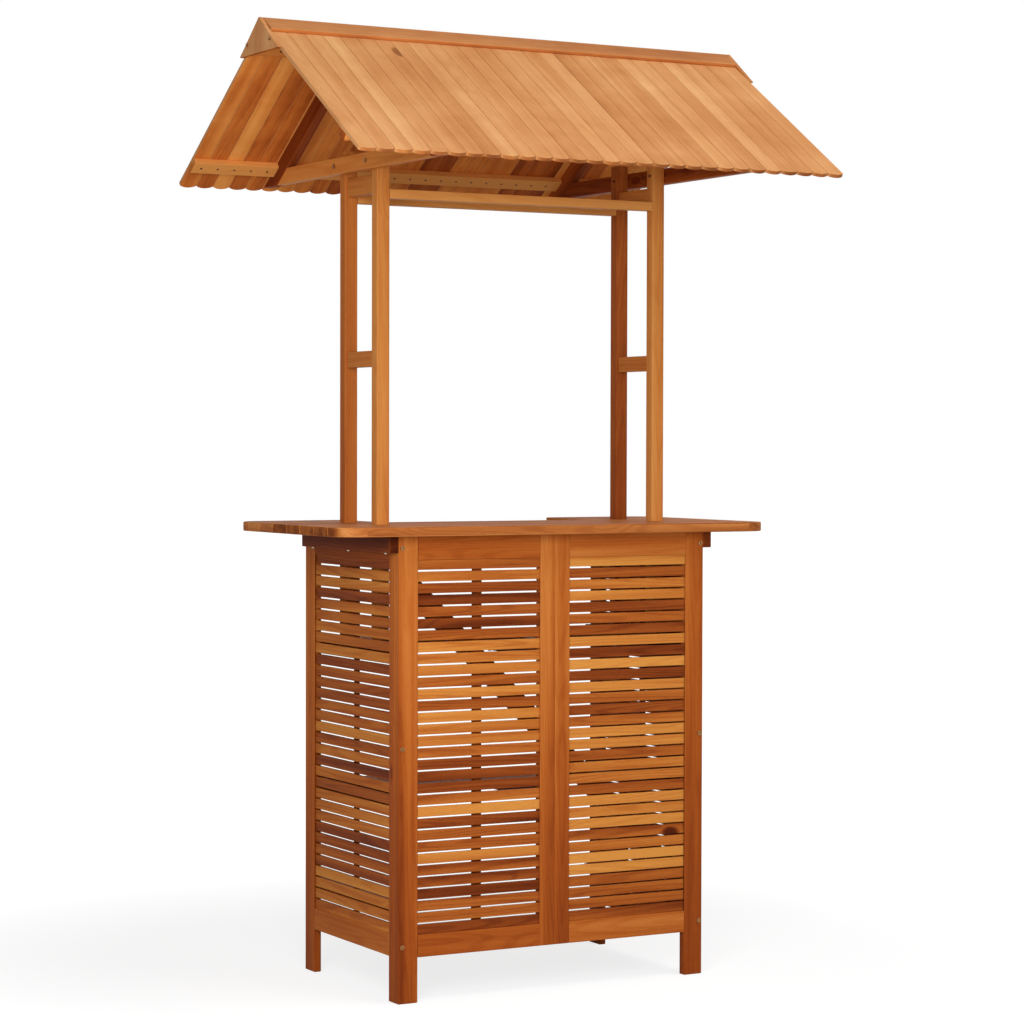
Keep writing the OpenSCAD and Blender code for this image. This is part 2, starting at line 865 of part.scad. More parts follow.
// Two dowels join the arm of the shelf at z to the stiles, and one joins it to a shelf board
module arm_dowels(z, d, l) {
    for (x = [-shelf_arm_w / 4, shelf_arm_w / 4])
        rod_y([x, y_behind - l, z - shelf_arm_h / 2], d, 2 * l);
    rod_y([0, -shelf_d / 2 - l, z - shelf_t / 2], d, 2 * l);
}

// Dowels join the right rafters to each other at the ridge, and to the ends of their tie beam
module truss_dowels(d, l) {
    x = truss_x + truss_t / 2;
    ridge = on_slope(s_at_middle(-board_t), -board_t) + on_slope(s_at_middle(rafter_low), rafter_low);
    rod_y([x, -l, ridge[1] / 2], d, 2 * l);
    front_and_back() on_back_slope()
        translate([x, s_at_height(rafter_low, truss_bolt_z), rafter_low - l]) cylinder(d = d, h = 2 * l);
}

module truss_dowel_holes() {
    truss_dowels(dowel_d + hole_gap / 2, dowel_l + hole_end);
}

module dowels() {
    color(slat_colour) {
        both_sides() front_and_back() dowels_at_post(dowel_d, dowel_l);
        for (z = [upper_shelf_z, lower_shelf_z]) arm_dowels(z, dowel_d, dowel_l);
        both_sides() truss_dowels(dowel_d, dowel_l);
    }
}

// Screws from below hold the counter to the cleats and to the wing battens
module each_counter_screw() {
    both_sides() {
        for (y = counter_screw_ys)
            translate([x_out + cleat_w / 2, cleat_mid_y + y, cab_h - cleat_h]) {
                $depth = cleat_h;
                children();
            }
        for (y = wing_screw_ys)
            translate([wing_x + wing_batten_inset + wing_batten / 2, y, cab_h - wing_batten]) {
                $depth = wing_batten;
                children();
            }
    }
}

module counter_screw_holes() {
    each_counter_screw() translate([0, 0, -past])
        cylinder(d = screw_d + hole_gap, h = past + $depth + screw_grip + hole_end);
}

// Screws from inside, through the right side panel's top rail into the cleat
module each_cleat_screw() {
    for (y = [-1, 1])
        translate([x_in, y * cleat_screw_y, cab_h - cleat_h / 2 - cleat_screw_drop])
            rotate([0, 90, 0]) children();
}

module cleat_screw_holes() {
    each_cleat_screw() translate([0, 0, -past])
        cylinder(d = screw_d + hole_gap, h = past + side_t + screw_grip + hole_end);
}

module counter_screws() {
    color(steel_colour) {
        each_counter_screw() screw_up($depth + screw_grip);
        both_sides() each_cleat_screw() screw_up(side_t + screw_grip);
    }
}

// Screws through a shelf's battens into each board, and through the rails into the rear legs
module each_shelf_screw(z) {
    for (x = shelf_batten_xs, k = [0 : shelf_board_n - 1])
        translate([x, -shelf_d / 2 + shelf_board_w / 2 + k * (shelf_board_w + shelf_board_gap),
                   z - shelf_t - shelf_batten]) children();
}

module shelf_screw_holes(z) {
    each_shelf_screw(z) translate([0, 0, -past])
        cylinder(d = screw_d + hole_gap, h = past + shelf_screw_l + hole_end);
}

module each_rail_screw() {
    for (z = [upper_shelf_z, lower_shelf_z, bottom_side_rail_z])
        translate([shelf_x, y_back - rear_leg_w / 2, z - shelf_rail_h / 2]) rotate([0, 90, 0]) children();
}

module shelf_rail_screw_holes() {
    each_rail_screw() translate([0, 0, -past])
        cylinder(d = screw_d + hole_gap, h = past + shelf_rail_t + screw_grip + hole_end);
}

module shelf_screws() {
    color(steel_colour) {
        for (z = [upper_shelf_z, lower_shelf_z])
            each_shelf_screw(z) screw_up(shelf_screw_l);
        both_sides() each_rail_screw() screw_up(shelf_rail_t + screw_grip);
    }
}

// One screw at each end of the brace, into the back of the front leg
module each_brace_screw() {
    drop = (brace_left_z - brace_right_z) * (x_in - brace_screw_x) / (2 * x_in);
    for (p = [[-brace_screw_x, brace_left_z - drop], [brace_screw_x, brace_right_z + drop]])
        translate([p[0], y_behind + brace_t, p[1]]) rotate([90, 0, 0]) children();
}

module brace_screw_holes() {
    each_brace_screw() translate([0, 0, -past])
        cylinder(d = screw_d + hole_gap, h = past + brace_t + screw_grip + hole_end);
}

module brace_screws() {
    color(steel_colour) each_brace_screw() screw_up(brace_t + screw_grip);
}

// Two screws hold the right gable plate to the edges of the last roof boards
module each_gable_screw() {
    for (y = [-gable_screw[0], gable_screw[0]])
        translate([roof_half + gable_t, y, gable_screw[1]]) rotate([0, -90, 0]) children();
}

module gable_screw_holes() {
    each_gable_screw() translate([0, 0, -past])
        cylinder(d = screw_d + hole_gap, h = past + gable_t + screw_grip + hole_end);
}

module gable_screws() {
    color(steel_colour) both_sides() each_gable_screw() screw_up(gable_t + screw_grip);
}

// Nails through a batten at s into each board of the back slope that isn't over a truss
function over_truss(x) = abs(abs(x) - truss_x - truss_t / 2) < (truss_t + nail_head_d) / 2;

module each_nail(s) {
    for (k = [0 : board_n - 1])
        if (!over_truss(board_x(k)))
            on_back_slope() translate([board_x(k), s, -board_t - batten_t]) children();
}

module nail_holes(s) {
    each_nail(s) translate([0, 0, -past])
        cylinder(d = nail_d + hole_gap, h = past + batten_t + nail_grip + hole_end, $fn = 16);
}

module roof_nails() {
    color(steel_colour) front_and_back() for (s = [eave_s, ridge_batten_s])
        each_nail(s) {
            translate([0, 0, -nail_head_h]) cylinder(d = nail_head_d, h = nail_head_h, $fn = 16);
            cylinder(d = nail_d, h = batten_t + nail_grip, $fn = 16);
        }
}

front_left_leg();
front_right_leg();
rear_left_leg();
rear_right_leg();
front_left_stile();
front_right_stile();
front_top_rails();
front_bottom_rails();
front_left_slats();
front_right_slats();
front_slat_battens();
side_stiles();
side_top_rails();
side_bottom_rails();
left_side_slats();
right_side_slats();
side_slat_battens();
upper_shelf_rails();
lower_shelf_rails();
bottom_side_rails();
upper_shelf_boards();
lower_shelf_boards();
shelf_battens();
shelf_arms();
diagonal_brace();
counter_front_boards();
counter_left_wing();
counter_right_wing();
counter_cleats();
wing_battens();
front_left_post();
front_right_post();
back_left_post();
back_right_post();
post_rungs();
head_rails();
front_beam();
back_beam();
left_tie_beam();
right_tie_beam();
left_rafters();
right_rafters();
front_eave_battens();
back_eave_battens();
ridge_battens();
front_roof_boards();
back_roof_boards();
front_ridge_cap();
back_ridge_cap();
left_gable_plate();
right_gable_plate();
leg_bolts();
post_bolts();
truss_bolts();
dowels();
counter_screws();
shelf_screws();
brace_screws();
gable_screws();
roof_nails();
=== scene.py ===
# An outdoor bar table with a gable roof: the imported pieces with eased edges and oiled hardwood,
# in a soft white studio.
import json
import math

import bpy
from mathutils import Matrix, Vector


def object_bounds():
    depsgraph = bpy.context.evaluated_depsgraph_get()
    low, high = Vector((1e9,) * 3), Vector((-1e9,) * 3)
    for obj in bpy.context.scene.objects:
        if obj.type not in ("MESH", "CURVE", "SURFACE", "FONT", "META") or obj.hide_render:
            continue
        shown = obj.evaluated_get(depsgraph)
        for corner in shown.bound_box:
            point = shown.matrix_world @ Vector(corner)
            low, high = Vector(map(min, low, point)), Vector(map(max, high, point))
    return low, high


MM = 0.001
IMAGE_SIDE_PX = 1024
SENSOR_MM = 36.0

# The photograph's camera, fitted to the object's corners: metres, degrees and the focal length in pixels.
CAMERA_PLACE = (-3.1738, -5.7912, 1.2332)
CAMERA_FOCAL_PX = 2850.9
CAMERA_TURN = 28.89
CAMERA_DOWN = 1.43
CAMERA_ROLL = 0.14
CAMERA_NEAR = 0.05
CAMERA_FAR = 200.0

# The light on the object: the world's own strength and each softbox's place, side and watts.
WORLD_LIGHT = 0.25
SOFTBOXES = {
    "key": ((-2.0, -2.8, 1.65), 1.6, 84.0),
    "fill": ((2.6, -4.2, 1.8), 2.6, 16.0),
    "top": ((1.3, -1.8, 4.4), 2.4, 72.0),
}

# The floor's side, and how far from the object its shadow starts and ends to fade into white, in metres.
FLOOR_SIDE = 60.0
SHADOW_REACH = (0.8, 2.4)

# The floor's grey for the light that it throws back, its grey where it is seen, and how strongly it glows
# there: near the object, where the shadow must show, and how much more far away.
FLOOR_BOUNCE = 0.55
FLOOR_SHADOW = 0.30
FLOOR_GLOW_NEAR = 0.78
FLOOR_GLOW_RISE = 0.22

# Slope of the roof, and of the brace behind the slats, in degrees.
ROOF_PITCH = 33.0
BRACE_PITCH = 45.9

# How a point is turned so that its X runs along the grain.
GRAIN_TURN = {
    "x": (0.0, 0.0, 0.0),
    "y": (0.0, 0.0, -90.0),
    "z": (0.0, 90.0, 0.0),
    "front_slope": (-ROOF_PITCH, 0.0, -90.0),
    "back_slope": (ROOF_PITCH, 0.0, -90.0),
    "both_slopes": (ROOF_PITCH, 0.0, -90.0),
    "brace": (0.0, -BRACE_PITCH, 0.0),
}

# Which way the grain runs in each wooden node, and how wide its eased edges are in millimetres.
# The dowels have no eased edges, and their grain runs along X.
WOODEN = {
    "z": {
        2.2: ["front_left_leg", "front_right_leg", "rear_left_leg", "rear_right_leg"],
        2.5: ["front_left_post", "front_right_post", "back_left_post", "back_right_post"],
        1.6: ["front_left_stile", "front_right_stile", "side_stiles"],
        1.0: ["front_slat_battens", "side_slat_battens"],
        1.3: ["left_gable_plate", "right_gable_plate"],
    },
    "x": {
        1.2: ["front_top_rails", "front_bottom_rails"],
        1.0: ["front_left_slats", "front_right_slats"],
        1.5: ["upper_shelf_boards", "lower_shelf_boards", "upper_shelf_rails", "lower_shelf_rails"],
        2.4: ["counter_front_boards"],
        1.8: ["front_beam", "back_beam", "front_ridge_cap", "back_ridge_cap"],
        1.4: ["front_eave_battens", "back_eave_battens", "ridge_battens", "wing_battens"],
    },
    "y": {
        1.2: ["side_top_rails", "side_bottom_rails", "bottom_side_rails"],
        1.0: ["left_side_slats", "right_side_slats", "shelf_battens", "shelf_arms"],
        2.4: ["counter_left_wing", "counter_right_wing"],
        2.0: ["counter_cleats"],
        1.8: ["post_rungs", "head_rails", "left_tie_beam", "right_tie_beam"],
    },
    "front_slope": {0.8: ["front_roof_boards"]},
    "back_slope": {0.8: ["back_roof_boards"]},
    "both_slopes": {1.5: ["left_rafters", "right_rafters"]},
    "brace": {1.5: ["diagonal_brace"]},
}

# Corners closer than WELD_REACH metres are joined, faces that turn by less than FLAT_DEGREES become one,
# and edges that turn by more than EDGE_DEGREES are eased.
WELD_REACH = 0.01 * MM
FLAT_DEGREES = 1.0
EDGE_DEGREES = 40
EDGE_SEGMENTS = 2

# How many boards lie side by side in a node, and along which axis. The nodes that aren't named count as one.
BOARDS = {
    "x": {
        2: ["front_top_rails", "front_bottom_rails", "front_slat_battens", "side_stiles", "side_top_rails",
            "side_bottom_rails", "side_slat_battens", "upper_shelf_rails", "lower_shelf_rails",
            "bottom_side_rails", "counter_cleats", "wing_battens", "post_rungs", "head_rails"],
        3: ["shelf_battens"],
        29: ["front_roof_boards", "back_roof_boards"],
    },
    "y": {
        2: ["left_rafters", "right_rafters", "ridge_battens"],
        3: ["upper_shelf_boards", "lower_shelf_boards", "counter_left_wing", "counter_right_wing"],
        5: ["counter_front_boards"],
    },
    "z": {
        2: ["shelf_arms"],
        32: ["front_left_slats", "front_right_slats", "left_side_slats", "right_side_slats"],
    },
}

# Each wood's colours from its darkest streaks to its palest, in the usual 0 to 255 numbers, its base tone,
# and how much one board, a streak, a ring and a knot change that tone.
WOODS = {
    "frame_wood": {"colours": [(108, 44, 14), (158, 74, 26), (186, 100, 38), (208, 132, 64)],
                   "base": 0.55, "boards": 0.16, "streaks": 0.45, "rings": 0.08, "knots": 0.3},
    "slat_wood": {"colours": [(84, 32, 12), (146, 68, 26), (188, 104, 40), (216, 144, 66)],
                  "base": 0.56, "boards": 0.66, "streaks": 0.55, "rings": 0.10, "knots": 0.4},
    "inner_wood": {"colours": [(56, 20, 8), (98, 40, 14), (134, 62, 22), (160, 86, 36)],
                   "base": 0.45, "boards": 0.4, "streaks": 0.5, "rings": 0.08, "knots": 0.3},
    "counter_wood": {"colours": [(104, 50, 22), (162, 90, 42), (194, 118, 58), (216, 148, 84)],
                     "base": 0.55, "boards": 0.3, "streaks": 0.55, "rings": 0.10, "knots": 0.4},
    "post_wood": {"colours": [(124, 54, 20), (172, 92, 38), (198, 120, 54), (216, 150, 80)],
                  "base": 0.60, "boards": 0.2, "streaks": 0.45, "rings": 0.08, "knots": 0.4},
    "truss_wood": {"colours": [(104, 40, 14), (166, 80, 30), (202, 114, 46), (226, 152, 78)],
                   "base": 0.60, "boards": 0.25, "streaks": 0.45, "rings": 0.09, "knots": 0.3},
    "roof_wood": {"colours": [(150, 88, 46), (194, 126, 72), (214, 152, 96), (232, 180, 124)],
                  "base": 0.55, "boards": 0.16, "streaks": 0.34, "rings": 0.05, "knots": 0.5},
    # The roof wood as painted shade, darker and redder, for its underside.
    "roof_underside": {"colours": [(96, 34, 10), (176, 84, 30), (222, 130, 54), (246, 174, 92)],
                       "base": 0.60, "boards": 0.46, "streaks": 0.35, "rings": 0.06, "knots": 0.4},
    "dowel_wood": {"colours": [(170, 120, 70), (200, 150, 95), (215, 170, 115), (230, 190, 140)],
                   "base": 0.5, "boards": 0.1, "streaks": 0.3, "rings": 0.1, "knots": 0.0},
}

# The tones, from 0 to 1, at which the four colours lie.
TONE_PLACES = (0.05, 0.38, 0.66, 0.95)

# How much paler (above 0) or darker a node is than the rest of its wood. Most of this is the node's own tone,
# but
# some is painted shade: the back right post, the side top rails under the counter's cleats and the right tie
# beam are darkened where shade falls on them.
TINTS_AND_PAINTED_SHADE = {
    "front_left_leg": 0.02, "front_right_leg": -0.03, "rear_left_leg": 0.14, "side_stiles": 0.10,
    "front_left_stile": 0.06, "front_right_stile": 0.12, "front_top_rails": 0.13, "front_bottom_rails": 0.22,
    "side_top_rails": -0.18, "side_bottom_rails": 0.34, "front_left_slats": -0.06, "front_right_slats": 0.08,
    "left_side_slats": -0.03, "counter_front_boards": 0.10, "counter_cleats": 0.12,
    "front_left_post": 0.02, "front_right_post": 0.12, "back_left_post": -0.05, "back_right_post": -0.55,
    "front_beam": 0.30, "left_tie_beam": 0.20, "right_tie_beam": -0.30, "left_rafters": -0.40,
    "right_rafters": -0.30, "back_eave_battens": 0.36, "front_ridge_cap": -0.33, "back_ridge_cap": -0.15,
    "left_gable_plate": -0.05, "right_gable_plate": -0.10,
}

# The noises of a board's figure. Their lumps are counted to the metre, along the grain and in the two
# directions across it. KNOT_LUMPS are the cells that may each hold a knot.
BEND = {"lumps": (1.7, 7.0, 7.0)}
GROWTH = {"lumps": (0.75, 15.0, 15.0), "detail": 1.5, "roughness": 0.45}
STREAK = {"lumps": (0.7, 24.0, 24.0), "roughness": 0.45}
FIBRE = {"lumps": (9.0, 520.0, 520.0), "detail": 3.0, "roughness": 0.65}
PORE = {"lumps": (45.0, 1100.0, 1100.0), "detail": 1.0}
KNOT_LUMPS = (3.6, 7.5, 7.5)

# The middle of what a noise or a draw can give.
MEAN = 0.5

# A board's and a node's share in the number that its figure is drawn from, and how far apart in the tree,
# in metres, two boards are cut.
BOARD_SEED = 0.731
NODE_SEED = 37.3
BOARD_SHIFT = (43.0, 7.0, 7.0)

# The grain bends from side to side within GRAIN_BEND metres. RING_ANGLE sets how close the rings lie, and a
# knot swells the growth round it by KNOT_SWELL.
GRAIN_BEND = 0.022
RING_ANGLE = 130.0
KNOT_SWELL = 0.16

# Where a smooth step starts and ends: the draw that gives a cell its knot, the distances at which the rings
# start to flow round it and at which its core begins, the wave's crest as a ring, and the noise's as a pore.
KNOT_DRAW = (0.20, 0.14)
KNOT_FLOW = (0.42, 0.0)
KNOT_CORE = (0.11, 0.04)
RING_CREST = (-0.2, 1.0)
PORE_CREST = (0.60, 0.72)

# How much the streaks, fibres, pores and knots change the tone in every wood, and where a ring's mean lies.
STREAK_TONE = 2.0
FIBRE_TONE = 0.18
PORE_TONE = -0.10
KNOT_TONE = -1.6
RING_MEAN = 0.4

# End grain is darker, and an eased edge is paler except on the roof: partly wear and partly a painted
# highlight where the rounded edge catches the light. End grain is told by how squarely a face looks along the
# grain, and an eased edge by how little it does so along any of the board's sides.
END_GRAIN_FACING = (0.75, 0.95)
END_GRAIN_TONE = 0.34
EDGE_FACING = (0.97, 0.85)
EDGE_WEAR_AND_HIGHLIGHT = 0.10

# The cabinet's frame gets painted shade towards the feet, where less light falls: darker between these heights
# in metres, by the amount below.
FOOT_HEIGHTS = (0.95, 0.20)
FOOT_PAINTED_SHADE = 0.28

# The roof is blotched on both sides. Its underside gets painted shade: it is told by how far its face looks
# down, and it is deepest in tone towards the middle, in metres from it, where the least light reaches.
BLOTCH = {"lumps": (5.0, 5.0, 9.0), "detail": 3.0, "roughness": 0.6}
BLOTCH_TONE = 0.5
UNDERSIDE_FACING = (-0.45, -0.65)
UNDERSIDE_REACH = (0.56, 0.34)
UNDERSIDE_MIDDLE_SHADE = 0.07

# How glossy and how rough the oiled wood is, and how much rougher its fibres and its end grain are.
SHEEN = 0.04
ROUGH = 0.46
FIBRE_ROUGH = 0.14
END_GRAIN_ROUGH = 0.15

# How much a fibre stands out of the surface, and a pore and a ring lie in it; then the bump's strength and
# its depth in metres.
FIBRE_HEIGHT = 0.5
PORE_DEPTH = 0.6
RING_DEPTH = 0.3
WOOD_BUMP = (0.35, 0.7 * MM)

# Two tones of each plating: bright where it is new, dull or dark where it has weathered into the wood.
PLATING = {
    "bright": [(150, 138, 120), (188, 176, 158)],
    "dull": [(126, 84, 48), (168, 122, 78)],
    "dark": [(52, 32, 18), (84, 56, 34)],
}

# The plating of each weathered fastener. The others are bright.
WEATHERED = {"leg_bolts": "dull", "truss_bolts": "dull", "gable_screws": "dull", "roof_nails": "dark"}

# The noises of the plating's bloom and scratches, where on the bloom its two tones lie, how rough it is and
# how much rougher the bloom makes it, and the scratches' bump.
BLOOM = {"lumps": (220.0, 220.0, 220.0), "detail": 3.0}
SCRATCH = {"lumps": (900.0, 900.0, 2600.0)}
PLATING_PLACES = (0.3, 0.7)
PLATING_ROUGH = 0.30
BLOOM_ROUGH = 0.30
PLATING_BUMP = (0.2, 0.2 * MM)


def rgb(red, green, blue):
    """A colour in the usual 0 to 255 numbers, as the linear colour that a shader takes."""
    def linear(value):
        share = value / 255
        return share / 12.92 if share <= 0.04045 else ((share + 0.055) / 1.055) ** 2.4
    return (linear(red), linear(green), linear(blue), 1.0)


def grey(value):
    """A linear grey."""
    return (value, value, value, 1.0)


class Nodes:
    """Adds nodes to one node tree and joins them."""

    def __init__(self, tree):
        self.tree = tree
        tree.nodes.clear()

    def add(self, kind, inputs=None, **settings):
        node = self.tree.nodes.new(kind)
        for name, value in settings.items():
            setattr(node, name, value)
        for name, value in (inputs or {}).items():
            self.put(node.inputs[name], value)
        return node

    def put(self, socket, value):
        if isinstance(value, bpy.types.NodeSocket):
            self.tree.links.new(value, socket)
        else:
            socket.default_value = value

    def math(self, operation, *values, clamp=False):
        node = self.add("ShaderNodeMath", operation=operation, use_clamp=clamp)
        for socket, value in zip(node.inputs, values):
            self.put(socket, value)
        return node.outputs[0]

    def vector(self, operation, *values):
        node = self.add("ShaderNodeVectorMath", operation=operation)
        for socket, value in zip(node.inputs, values):
            self.put(socket, value)
        return node.outputs["Value" if operation == "LENGTH" else "Vector"]

    def split(self, vector):
        """The X, Y and Z of a vector."""
        return self.add("ShaderNodeSeparateXYZ", {"Vector": vector}).outputs

    def noise(self, place, lumps, detail=2.0, roughness=0.5, output="Fac"):
        """Noise on a point whose three directions are scaled apart, in lumps to the metre."""
        node = self.add("ShaderNodeTexNoise", {
            "Vector": self.vector("MULTIPLY", place, lumps),
            "Scale": 1.0,
            "Detail": detail,
            "Roughness": roughness,
        })
        return node.outputs[output]

    def between(self, value, low, high):
        """0 at low, 1 at high and a smooth rise in between; low may be the larger."""
        node = self.add("ShaderNodeMapRange", {"Value": value, "From Min": low, "From Max": high},
                        interpolation_type="SMOOTHSTEP")
        return node.outputs[0]

    def bump(self, height, strength, depth):
        """The normal of a surface with a fine relief."""
        inputs = {"Height": height, "Strength": strength, "Distance": depth}
        return self.add("ShaderNodeBump", inputs).outputs[0]

    def ramp(self, tone, places, colours, interpolation="LINEAR"):
        """The colour at a tone, between colours at their places."""
        node = self.add("ShaderNodeValToRGB", {"Fac": tone})
        node.color_ramp.interpolation = interpolation
        stops = node.color_ramp.elements
        while len(stops) < len(places):
            stops.new(places[-1])
        for stop, position, colour in zip(stops, places, colours):
            stop.position = position
            stop.color = rgb(*colour)
        return node.outputs[0]

    def mix(self, share, first, second):
        """The first colour, turned into the second by a share."""
        # A mix node takes its two colours at its sockets 6 and 7, and gives the third output.
        return self.add("ShaderNodeMix", {0: share, 6: first, 7: second}, data_type="RGBA").outputs[2]

    def mix_shader(self, share, first, second):
        """The first shader, turned into the second by a share."""
        return self.add("ShaderNodeMixShader", {0: share, 1: first, 2: second}).outputs[0]

    def finish(self, kind, surface):
        """Ends a material or a world with its surface."""
        self.put(self.add(kind).inputs["Surface"], surface)


def new_material(name):
    """An empty material and its nodes."""
    material = bpy.data.materials.new(name)
    material.use_nodes = True
    return material, Nodes(material.node_tree)


def figure_group():
    """A node group that gives a board's figure at a point whose X runs along the grain."""
    tree = bpy.data.node_groups.new("wood_figure", "ShaderNodeTree")
    face = tree.interface
    face.new_socket("Place", in_out="INPUT", socket_type="NodeSocketVector")
    face.new_socket("Board", in_out="INPUT", socket_type="NodeSocketFloat")
    for name in ("Tone", "Streak", "Ring", "Fibre", "Pore", "Knot"):
        face.new_socket(name, in_out="OUTPUT", socket_type="NodeSocketFloat")
    n = Nodes(tree)
    place, number = n.add("NodeGroupInput").outputs[:2]

    # Every board is cut from its own part of the tree.
    whole = n.add("ShaderNodeObjectInfo").outputs["Random"]
    seed = n.math("ADD", n.math("MULTIPLY", number, BOARD_SEED), n.math("MULTIPLY", whole, NODE_SEED))
    draw = n.add("ShaderNodeTexWhiteNoise", {"W": seed}, noise_dimensions="1D")
    board = n.vector("ADD", place, n.vector("MULTIPLY", draw.outputs["Color"], BOARD_SHIFT))

    bend = n.noise(board, **BEND, output="Color")
    bend = n.vector("SUBTRACT", bend, (MEAN, MEAN, MEAN))
    bent = n.vector("ADD", board, n.vector("MULTIPLY", bend, (0.0, GRAIN_BEND, GRAIN_BEND)))

    # A few boards have a knot, and the rings flow round it.
    cells = n.vector("MULTIPLY", board, KNOT_LUMPS)
    cell = n.add("ShaderNodeTexVoronoi", {"Vector": cells, "Scale": 1.0, "Randomness": 1.0})
    drawn = n.add("ShaderNodeSeparateColor", {"Color": cell.outputs["Color"]}).outputs[0]
    chosen = n.between(drawn, *KNOT_DRAW)
    near = n.math("MULTIPLY", n.between(cell.outputs["Distance"], *KNOT_FLOW), chosen)
    knot = n.math("MULTIPLY", n.between(cell.outputs["Distance"], *KNOT_CORE), chosen)

    growth = n.math("ADD", n.noise(bent, **GROWTH), n.math("MULTIPLY", near, KNOT_SWELL))
    ring = n.between(n.math("SINE", n.math("MULTIPLY", growth, RING_ANGLE)), *RING_CREST)
    streak = n.noise(bent, **STREAK)
    fibre = n.noise(bent, **FIBRE)
    pore = n.between(n.noise(bent, **PORE), *PORE_CREST)

    out = n.add("NodeGroupOutput")
    for name, value in (("Tone", draw.outputs["Value"]), ("Streak", streak), ("Ring", ring), ("Fibre", fibre),
                        ("Pore", pore), ("Knot", knot)):
        n.put(out.inputs[name], value)
    return tree


def timber(n, look, tint, figure, extra):
    """The colour of one wood, from a board's figure and what else lightens or darkens it."""
    def part(name, mean, amount):
        return n.math("MULTIPLY", n.math("SUBTRACT", figure.outputs[name], mean), amount)

    parts = (
        ("Streak", MEAN, STREAK_TONE * look["streaks"]),
        ("Ring", RING_MEAN, -look["rings"]),
        ("Fibre", MEAN, FIBRE_TONE),
        ("Pore", 0.0, PORE_TONE),
        ("Knot", 0.0, KNOT_TONE * look["knots"]),
    )
    tone = n.math("ADD", part("Tone", MEAN, look["boards"]), look["base"] + tint)
    for name, mean, amount in parts:
        tone = n.math("ADD", tone, part(name, mean, amount))
    tone = n.math("ADD", tone, extra, clamp=True)
    return n.ramp(tone, TONE_PLACES, look["colours"], "B_SPLINE")


def wood(slot, grain, tint, boards, figure):
    """Oiled hardwood of one slot, whose grain runs one way, paler or darker by a tint, which for some nodes is
    painted shade.

    The boards are an axis, their number, and where along that axis the first starts and the last ends.
    """
    material, n = new_material(f"{slot}_{grain}")
    turn = [math.radians(angle) for angle in GRAIN_TURN[grain]]
    here = n.add("ShaderNodeTexCoord").outputs["Object"]
    normal = n.add("ShaderNodeNewGeometry").outputs["True Normal"]
    axis, count, start, end = boards
    into = n.math("SUBTRACT", n.split(here)["xyz".index(axis)], start)
    number = n.math("FLOOR", n.math("MULTIPLY", into, count / (end - start)))
    if grain == "both_slopes":
        side = n.vector("SIGN", here)
        here, normal = n.vector("MULTIPLY", here, side), n.vector("MULTIPLY", normal, side)
    turned = n.add("ShaderNodeMapping", {"Vector": here, "Rotation": turn})
    group = n.add("ShaderNodeGroup", node_tree=figure)
    n.put(group.inputs["Place"], turned.outputs[0])
    n.put(group.inputs["Board"], number)

    # End grain and eased edges show in the normal, turned as the point is.
    turned_normal = n.add("ShaderNodeMapping", {"Vector": normal, "Rotation": turn}, vector_type="NORMAL")
    along, across, out = n.split(n.vector("ABSOLUTE", turned_normal.outputs[0]))
    end_grain = n.between(along, *END_GRAIN_FACING)
    squarest = n.math("MAXIMUM", n.math("MAXIMUM", along, across), out)
    # An eased edge is lightened: partly wear, partly a painted highlight.
    worn_and_highlit = n.math("MULTIPLY", n.between(squarest, *EDGE_FACING), 0.0 if slot == "roof_wood" else EDGE_WEAR_AND_HIGHLIGHT)
    extra = n.math("SUBTRACT", worn_and_highlit, n.math("MULTIPLY", end_grain, END_GRAIN_TONE))
    # Painted shade: the frame darkens towards its feet.
    if slot == "frame_wood":
        foot_shade = n.between(n.split(here)[2], *FOOT_HEIGHTS)
        extra = n.math("SUBTRACT", extra, n.math("MULTIPLY", foot_shade, FOOT_PAINTED_SHADE))
    if slot == "roof_wood":
        blotch = n.math("SUBTRACT", n.noise(here, **BLOTCH), MEAN)
        extra = n.math("ADD", extra, n.math("MULTIPLY", blotch, BLOTCH_TONE))
    colour = timber(n, WOODS[slot], tint, group, extra)

    # The roof's underside gets painted shade: a darker, redder copy of the roof wood, deepest in the middle.
    if slot == "roof_wood":
        inward = n.between(n.math("ABSOLUTE", n.split(here)[0]), *UNDERSIDE_REACH)
        deep = n.math("SUBTRACT", extra, n.math("MULTIPLY", inward, UNDERSIDE_MIDDLE_SHADE))
        under = timber(n, WOODS["roof_underside"], tint, group, deep)
        colour = n.mix(n.between(n.split(normal)[2], *UNDERSIDE_FACING), colour, under)

    fibre, pore, ring = [group.outputs[name] for name in ("Fibre", "Pore", "Ring")]
    rougher = n.math("MULTIPLY", end_grain, END_GRAIN_ROUGH)
    rougher = n.math("ADD", n.math("MULTIPLY", fibre, FIBRE_ROUGH), rougher)
    height = n.math("SUBTRACT", n.math("MULTIPLY", fibre, FIBRE_HEIGHT), n.math("MULTIPLY", pore, PORE_DEPTH))
    height = n.math("SUBTRACT", height, n.math("MULTIPLY", ring, RING_DEPTH))
    shader = n.add("ShaderNodeBsdfPrincipled", {
        "Base Color": colour,
        "Roughness": n.math("ADD", ROUGH, rougher),
        "Specular IOR Level": SHEEN,
        "Normal": n.bump(height, *WOOD_BUMP),
    })
    n.finish("ShaderNodeOutputMaterial", shader.outputs[0])
    return material


def steel(plating):
    """Zinc-plated steel, with a dull bloom and fine scratches."""
    material, n = new_material(f"steel_{plating}")
    here = n.add("ShaderNodeTexCoord").outputs["Object"]
    bloom = n.noise(here, **BLOOM)
    scratch = n.noise(here, **SCRATCH)
    shader = n.add("ShaderNodeBsdfPrincipled", {
        "Base Color": n.ramp(bloom, PLATING_PLACES, PLATING[plating]),
        "Roughness": n.math("ADD", PLATING_ROUGH, n.math("MULTIPLY", bloom, BLOOM_ROUGH)),
        "Metallic": 1.0,
        "Normal": n.bump(scratch, *PLATING_BUMP),
    })
    n.finish("ShaderNodeOutputMaterial", shader.outputs[0])
    return material


